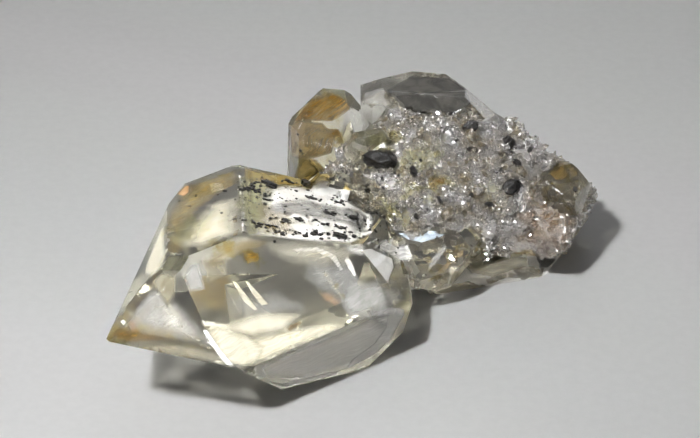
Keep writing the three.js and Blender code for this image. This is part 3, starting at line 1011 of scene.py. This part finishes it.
paneSpec = {
    # tone, strength, soft edge, streaks, corners as the camera sees them in paneForm's view
    # painted highlight: the flash reflected in the cut face
    "flashA": ("white", 1.0, 0.3, 0.0, [
        (306, 178), (330, 179), (345, 187), (356, 203), (340, 199), (320, 191)]),
    # painted shade: greyer parts of the cut face's painted reflection
    "greyBand": ("pale", 0.65, 1.4, 0.5, [
        (272, 201), (300, 198), (345, 207), (368, 216), (362, 228), (325, 221), (290, 214), (268, 212)]),
    "greyEnd": ("shade", 0.5, 1.5, 0.5, [
        (350, 192), (362, 200), (370, 214), (371, 234), (350, 235), (344, 214)]),
    "creamLow": ("straw", 0.4, 2.0, 0.0, [(252, 200), (276, 204), (300, 222), (304, 238), (252, 237)]),
    "leftFade": ("lime", 0.8, 1.9, 0.15, [
        (236, 178), (282, 180), (274, 205), (284, 239), (247, 239), (236, 210)]),
    "topFade": ("straw", 0.85, 1.1, 0.25, [
        (243, 167), (272.5, 172), (308, 166), (340, 171), (332, 187), (290, 188), (258, 192), (243, 192)]),
    # painted reflection: the cut face's silvery shine off the flat plane below it
    "silverSheen": ("silverSheen", 1.0, 0.5, 0.0, [
        (255, 182), (285, 176), (318, 175), (342, 181), (360, 195), (370, 214), (374, 236), (352, 243),
        (320, 241), (290, 239), (256, 234), (254, 205)]),
    "leftBand": ("lime", 0.7, 0.8, 0.25, [
        (241, 180), (262, 184), (259, 205), (264, 233), (247, 235), (241, 210)]),
    "topBand": ("straw", 0.85, 0.6, 0.3, [
        (243, 169), (274.5, 173), (308, 168), (336, 173), (326, 181), (290, 183), (258, 187), (245, 187)]),
    # painted light: the window face's cream glow
    "creamWindow": ("ivory", 0.62, 3.0, 0.1, [
        (180, 236), (204, 204), (243, 194), (243, 232), (205, 247), (180, 248)]),
    "rimGold": ("straw", 0.7, 1.6, 0.5, [
        (163, 228), (176, 199), (198, 182), (236, 168), (241, 182), (214, 198), (196, 214), (178, 240)]),
    "rimSpark": ("copper", 0.9, 0.3, 0.3, [(176.5, 194), (184, 186), (190, 185), (190, 192), (184, 197)]),
    "oliveHaze": ("olive", 0.5, 1.0, 0.2, [
        (170, 228), (190, 210), (202, 220), (198, 238), (180, 248), (168, 240)]),
    "pit": ("white", 0.75, 0.05, 0.0, [(209.5, 183.5), (221.7, 182.4), (224, 189), (211.7, 192.4)]),
    "speckA": ("ochre", 0.8, 0.1, 0.0, [(212, 221), (220, 219), (219, 223), (213, 224)]),
    "speckB": ("umber", 0.8, 0.1, 0.0, [(233, 217), (237, 215), (237, 222), (233, 223)]),
    "speckC": ("umber", 0.8, 0.1, 0.0, [(234, 231), (239, 229), (237, 235), (233, 236)]),
    "rimLight": ("white", 0.8, 0.05, 0.0, [
        (238.5, 175), (240.5, 175), (243.6, 205), (243.6, 231), (242, 231), (241.5, 205)]),
    "belowBand": ("straw", 0.6, 1.2, 0.35, [
        (198, 262), (215, 247), (240, 236), (270, 238), (266, 249), (236, 258), (214, 270)]),
    "goldSpark": ("gold", 0.85, 0.5, 0.5, [(241, 253), (248, 248), (260, 253), (260, 262), (248, 265)]),
    # painted light and shade: the tones these facets show through the crystal
    "leaf": ("cream", 0.85, 0.7, 0.1, [
        (146, 263), (158, 234), (165, 222), (167, 253), (161, 269), (150, 278), (144, 275)]),
    "darkFacet": ("moss", 0.75, 0.08, 0.0, [(168, 256), (190, 257), (180, 270), (161, 270)]),
    "beigePanel": ("sand", 0.6, 0.4, 0.0, [(151, 281.7), (161.5, 270.5), (176, 275), (177, 293), (168, 308)]),
    "lilacPanel": ("pale", 0.6, 0.5, 0.0, [
        (182.7, 277.3), (190.5, 262.8), (199.4, 261.7), (207.3, 289.6), (188.3, 293)]),
    "olivePanel": ("sand", 0.5, 0.5, 0.0, [(200.5, 259.4), (226.3, 257.2), (230, 275), (208.4, 286)]),
    "tipHaze": ("pale", 0.35, 1.0, 0.3, [
        (125, 322), (148, 288), (165, 292), (172, 320), (170, 334), (140, 330)]),
    # painted light: the bright corner and the glow where light comes through the crystal
    "cornerEdge": ("white", 1.0, 0.15, 0.2, [
        (202, 330), (207, 329), (222, 350), (236, 366), (228, 367), (216, 353)]),
    "brightCorner": ("cream", 0.9, 0.7, 0.3, [
        (201.7, 330), (217, 323), (248, 334), (268, 345), (260, 362), (244, 370), (226, 367)]),
    "cornerFan": ("ivory", 0.75, 1.0, 0.4, [
        (236, 338), (290, 328), (330, 321), (349, 326), (300, 348), (250, 368)]),
    "creamGlow": ("cream", 0.85, 0.9, 0.1, [
        (218, 325), (259.7, 311), (306, 312), (286, 332), (253, 339), (228, 334)]),
    "strokeA": ("cream", 0.8, 0.05, 0.3, [
        (233, 281), (236.5, 282), (246, 297), (258, 309), (255, 310), (244, 301)]),
    "strokeB": ("cream", 0.8, 0.05, 0.3, [
        (246, 281), (249, 282), (260, 298), (269, 304), (262, 305), (253, 294)]),
    "goldStreak": ("ochre", 0.6, 0.2, 0.3, [(285, 327), (300, 320), (306, 321), (290, 333)]),
    "orangeGlint": ("copper", 0.65, 0.8, 0.5, [(317, 290), (331, 292), (343, 302), (336, 307), (324, 300)]),
    "highlight": ("white", 1.0, 0.05, 0.0, [
        (361, 250), (371.3, 248.7), (392.3, 258.4), (394, 267), (388, 282.5), (378, 269.4)]),
    "sparkleA": ("white", 1.0, 0.05, 0.0, [(120, 321), (123, 319), (126, 322), (123, 325)]),
    "neckShine": ("silverSheen", 0.6, 0.6, 0.4, [(344, 246), (356, 243), (368, 247), (364, 256), (350, 254)]),
    "stripBeige": ("sand", 0.5, 0.8, 0.3, [
        (120, 340), (180, 346), (215, 352), (222, 362), (190, 360), (149.5, 350)]),
    "fibresA": ("cream", 0.45, 1.6, 0.5, [
        (258, 238), (318, 240), (362, 246), (350, 266), (325, 272), (298, 266), (270, 256)]),
    "fibresB": ("pale", 0.45, 1.6, 0.5, [
        (308, 254), (356, 258), (360, 290), (340, 306), (318, 294), (302, 275)]),
    "crackA": ("white", 0.75, 0.2, 0.6, [
        (292, 248), (318, 246), (337, 254), (345, 270), (340, 271), (331, 259), (316, 252), (295, 252)]),
    "crackB": ("white", 0.8, 0.1, 0.2, [
        (348, 256), (352, 262), (357, 274), (355, 276), (349, 268), (345, 260)]),
    "crackC": ("ivory", 0.65, 0.25, 0.6, [
        (322, 268), (330, 272), (337, 286), (345, 296), (341, 297), (331, 287), (324, 277)]),
    "rightGlow": ("pale", 0.75, 1.2, 0.3, [
        (346, 262), (366, 280), (400, 285), (408, 300), (384, 316), (350, 322), (338, 300)]),
    # painted highlight along the keel's edge
    "keelEdge": ("white", 0.9, 0.5, 0.3, [
        (388, 312), (404, 303), (404, 318), (392, 340), (372, 358), (345, 371), (352, 360), (374, 344),
        (386, 328)]),
    "lowGlow": ("white", 0.75, 1.4, 0.3, [
        (258, 368), (300, 348), (345, 330), (374, 316), (392, 324), (384, 352), (346, 372), (300, 382),
        (266, 381)]),
    "stripGlow": ("cream", 0.6, 0.7, 0.5, [
        (125, 342), (180, 345), (215, 352), (228, 365.5), (192, 358.5), (152.5, 350)]),
    "fanGlow": ("silverSheen", 0.5, 2.2, 0.3, [
        (146, 288), (170, 290), (198, 322), (214, 344), (160, 341), (130, 328)]),
    "hazeLow": ("pale", 0.35, 1.8, 0.2, [
        (222, 296), (275, 288), (305, 298), (314, 316), (270, 320), (230, 318)]),
    # painted highlight along a chipped edge
    "chippedEdge": ("white", 1.0, 0.12, 0.3, [
        (263, 380), (283, 384), (300, 379), (320, 375), (337, 371), (338, 375), (310, 383), (286, 388),
        (272, 385)]),
    "feather": ("white", 0.9, 0.5, 0.6, [
        (372, 325), (387, 308), (402, 304), (400, 322), (389, 340), (372, 344)]),
    "blueFracture": ("blue", 1.0, 0.08, 0.25, [
        (398, 233), (446, 234), (440.5, 238), (421, 241), (408, 239.5)]),
    "brightFace": ("white", 1.0, 0.05, 0.0, [(484, 218), (488, 217), (494.8, 231), (491.5, 241), (482, 240)]),
    "whiteStreak": ("white", 0.9, 0.1, 0.2, [
        (520.8, 190), (527, 188), (529.5, 198.8), (524, 214), (519, 210)]),
    "neckFacet": ("pale", 0.5, 0.3, 0.0, [(423, 279), (432, 257), (446, 243), (448, 250), (431, 270)]),
    "neckBrown": ("amber", 0.7, 0.35, 0.2, [(425, 284), (445, 263), (463, 248), (466, 254), (441, 275)]),
    "neckPale": ("white", 0.6, 0.5, 0.5, [
        (368, 248), (385, 238), (402, 244), (418, 250), (410, 262), (393, 258), (380, 250)]),
    # painted dark reflection on the rear hazy crystal's top and front
    "hazyTop": ("darkReflection", 0.9, 0.35, 0.0, [(385, 90), (411, 75), (450, 77), (468, 91), (430, 93), (388, 92)]),
    "hazyFront": ("darkReflection", 0.9, 0.35, 0.0, [
        (388, 92), (430, 91.5), (468, 92), (472, 103), (456, 112), (432, 113), (408, 110), (396, 102)]),
    "hazyLight": ("pale", 0.25, 0.15, 0.0, [
        (364, 92), (384, 88), (385, 98), (394, 107), (376, 106), (364, 103)]),
    "amberFront": ("umber", 0.9, 0.35, 0.2, [
        (290, 124), (322, 122), (338, 136), (333, 155), (308, 158), (290, 157)]),
    "amberCap": ("ochre", 0.95, 0.3, 0.3, [
        (291, 120), (305, 99), (334, 92), (347, 99), (356, 110), (332, 121), (295, 124)]),
    "amberSpot": ("ochre", 0.75, 0.2, 0.2, [(324, 127), (339, 128), (342, 137), (331, 137)]),
    "amberPale": ("sand", 0.6, 0.2, 0.0, [(343, 123), (354, 121), (355, 137), (344, 140)]),
    "oliveFace": ("moss", 0.55, 0.4, 0.0, [
        (357, 138), (364, 126), (378, 124), (386, 130), (382, 144), (364, 150)]),
    "brownFacet": ("umber", 0.75, 0.15, 0.1, [(414.5, 209.7), (440.5, 220.5), (421, 225)]),
    "oliveFacet": ("moss", 0.6, 0.12, 0.0, [
        (497, 201), (512, 193), (517.5, 194.5), (515, 220.5), (503, 216)]),
    "goldDruse": ("gold", 0.75, 0.3, 0.2, [
        (424, 168), (434, 172), (444, 184), (454, 188), (450, 193), (436, 188), (428, 180)]),
    "goldStubA": ("ochre", 0.55, 0.4, 0.3, [(546, 163), (558, 157), (567, 164), (568, 177), (556, 182)]),
    "goldStubB": ("umber", 0.6, 0.3, 0.3, [(567, 163), (577, 166), (581, 177), (570, 178)]),
    "baseDark": ("shade", 0.85, 0.12, 0.0, [(537, 256), (558, 258), (558, 262), (549, 268), (542, 269)]),
    # painted light: a glow in the base crystal
    "basePale": ("ivory", 0.9, 0.8, 0.3, [
        (448, 266), (500, 254), (531, 257), (533, 269), (490, 278), (448, 285)]),
    "tipWedge": ("ochre", 0.8, 0.5, 0.2, [
        (108, 331), (119, 326), (157, 334), (178, 341), (135, 343), (112, 338)]),
}
paneForm = {
    "view": (700, 438),       # the corners' view, from its upper left
    "draws": 50,              # most steps by which a corner beside the crystals is drawn in
    "spacing": 0.17,          # between a pane's points
    "rimGap": 0.45,           # from them to its rim, in spacings
    "depth": 0.02,            # of the first pane, and how much deeper each next one lies
    "deeper": 0.004,
    "thickness": 0.012,
    "hard": 0.11,             # a soft edge below this is a hard one
}


# the spot on the crystals that the camera sees at a corner; one beside them is drawn to the outline's middle
def seenPlace(corner, middle):
    width, height = paneForm["view"]
    back = direction(cameraSpec["heading"], cameraSpec["rise"])
    start = Vector(cameraSpec["target"]) + back * cameraSpec["distance"]
    right = Vector((0, 0, 1)).cross(back).normalized()
    up = back.cross(right)
    reach = width * cameraSpec["lens"] / cameraSpec["sensor"]
    for step in range(paneForm["draws"]):
        x, y = corner.lerp(middle, step / paneForm["draws"])
        aim = right * (x - width / 2) + up * (height / 2 - y) - back * reach
        hit = surface.ray_cast(start * mm, aim.normalized())[0]
        if hit is not None:
            return hit / mm


# points along an outline's rim and all over its inside, with how far each is from the rim
def fillOutline(flat):
    spacing = paneForm["spacing"]
    rim = []
    for a, b in zip(flat, np.roll(flat, -1, axis=0)):
        steps = max(1, int(np.linalg.norm(b - a) / spacing))
        rim += [a + (b - a) * k / steps for k in range(steps)]
    low, high = flat.min(0), flat.max(0)
    columns, rows = (np.arange(low[i], high[i], spacing) for i in (0, 1))
    grid = np.array([(x, y) for x in columns for y in rows])
    inside, gap = insideDistances(grid, flat)
    keep = inside & (gap > paneForm["rimGap"] * spacing)
    return rim, rim + list(grid[keep]), [0.0] * len(rim) + list(gap[keep])


def addPane(bm, layers, spec, depth):
    tone, strength, soft, streaky, outline = spec
    outline = [Vector(c) for c in outline]
    centre = sum(outline, Vector((0, 0))) / len(outline)
    corners = [seenPlace(c, centre) for c in outline]
    middle = sum(corners, Vector()) / len(corners)
    normal = Vector()
    for a, b in zip(corners, corners[1:] + corners[:1]):
        normal += (a - middle).cross(b - middle)
    facing = surface.find_nearest(middle * mm)[1]
    normal = normal.normalized() * (1 if normal.dot(facing) > 0 else -1)
    across = direction(bodySpec["mainHeading"], 0).cross(normal).normalized()
    up = normal.cross(across)
    flat = np.array([((c - middle).dot(across), (c - middle).dot(up)) for c in corners])
    rim, spots, gaps = fillOutline(flat)
    result = geometry.delaunay_2d_cdt([Vector(p) for p in spots], [], [list(range(len(rim)))], 1, 1e-5, True)
    verts = []
    for place, sources in zip(result[0], result[3]):
        start = middle + across * place.x + up * place.y
        hit, facing, index, distance = surface.find_nearest(start * mm)
        pair = [bm.verts.new(hit - facing * d * mm) for d in (depth, depth + paneForm["thickness"])]
        gap = gaps[sources[0]] if sources else 0.0
        for vert in pair:
            vert[layers["fade"]] = strength * (1.0 if soft < paneForm["hard"] else min(1.0, gap / soft))
            vert[layers["streaky"]] = streaky
            vert[layers["across"]] = place.x * mm
            vert[layers["tone"]] = paneTones[tone]
        verts.append(pair)
    # both sides and the rim between them
    edges = set()
    for a, b, c in result[2]:
        bm.faces.new([verts[i][0] for i in (a, b, c)])
        bm.faces.new([verts[i][1] for i in (c, b, a)])
        edges.update([(a, b), (b, c), (c, a)])
    for a, b in sorted(edges):
        if (b, a) not in edges:
            bm.faces.new([verts[b][0], verts[a][0], verts[a][1], verts[b][1]])


def addPanes():
    bm = bmesh.new()
    layers = {key: bm.verts.layers.float.new(key) for key in ("fade", "streaky", "across")}
    layers["tone"] = bm.verts.layers.float_color.new("tone")
    for index, spec in enumerate(paneSpec.values()):
        addPane(bm, layers, spec, paneForm["depth"] + index * paneForm["deeper"])
    for face in bm.faces:
        face.smooth = True
    panes = meshObject("inner_veils_and_painted_light", bm, [veilAndPaintedLight])
    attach(panes, "root")
    print("inner veils faces:", len(panes.data.polygons))


addPanes()


lumpSpec = {
    # heading, rise, half sizes, seed
    "carbon_lump_1": (255, 42, (1.45, 0.85, 1.0), 3),
    "carbon_lump_2": (-58, 44, (0.8, 0.62, 0.72), 4),
    "carbon_lump_3": (-58, 44, (0.66, 0.56, 0.62), 5),
    "carbon_lump_4": (-58, 44, (0.70, 0.50, 0.62), 6),
}
lumpForm = {
    "planes": 22,             # broken faces
    "reach": (0.78, 1.0),     # of the planes
    "corner": 1.25,           # furthest that a corner reaches
    "waves": (0.035, 3.1),    # height and frequency of the unevenness
    "grain": (0.02, 9.0),
    "rise": 0.4,              # out of the hollow
    "size": 1.22,
    "sharpAngle": 18,
}


def addLump(name, spec):
    heading, rise, half, seed = spec
    rng = random.Random(seed)
    planes = []
    while len(planes) < lumpForm["planes"]:
        normal = Vector([rng.gauss(0, 1) for _ in range(3)]).normalized()
        planes.append((normal, rng.uniform(*lumpForm["reach"])))
    low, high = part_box(name)
    centre = (Vector(low) + Vector(high)) / 2
    bm = bmesh.new()
    bmesh.ops.create_icosphere(bm, subdivisions=4, radius=1)
    turn = direction(heading, rise).to_track_quat("Z", "Y").to_matrix()
    for vert in bm.verts:
        ray = vert.co.normalized()
        reach = min(h / max(ray.dot(n), 1e-3) for n, h in planes)
        reach = min(reach, lumpForm["corner"])
        for (height, often), shift in ((lumpForm["waves"], (seed, 0, 0)), (lumpForm["grain"], (0, seed, 0))):
            reach += height * noise.noise(ray * often + Vector(shift))
        local = Vector((ray.x * half[0], ray.y * half[1], ray.z * half[2] + lumpForm["rise"])) * reach
        vert.co = centre + turn @ local * lumpForm["size"] * mm
    for face in bm.faces:
        face.smooth = True
    for edge in bm.edges:
        edge.smooth = edge.calc_face_angle(0) < math.radians(lumpForm["sharpAngle"])
    piece = meshObject(name.replace("carbon_lump", "carbon_piece"), bm, [carbon])
    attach(piece, "root")
    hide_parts(name)


for name, spec in lumpSpec.items():
    addLump(name, spec)
print("carbon lumps built")
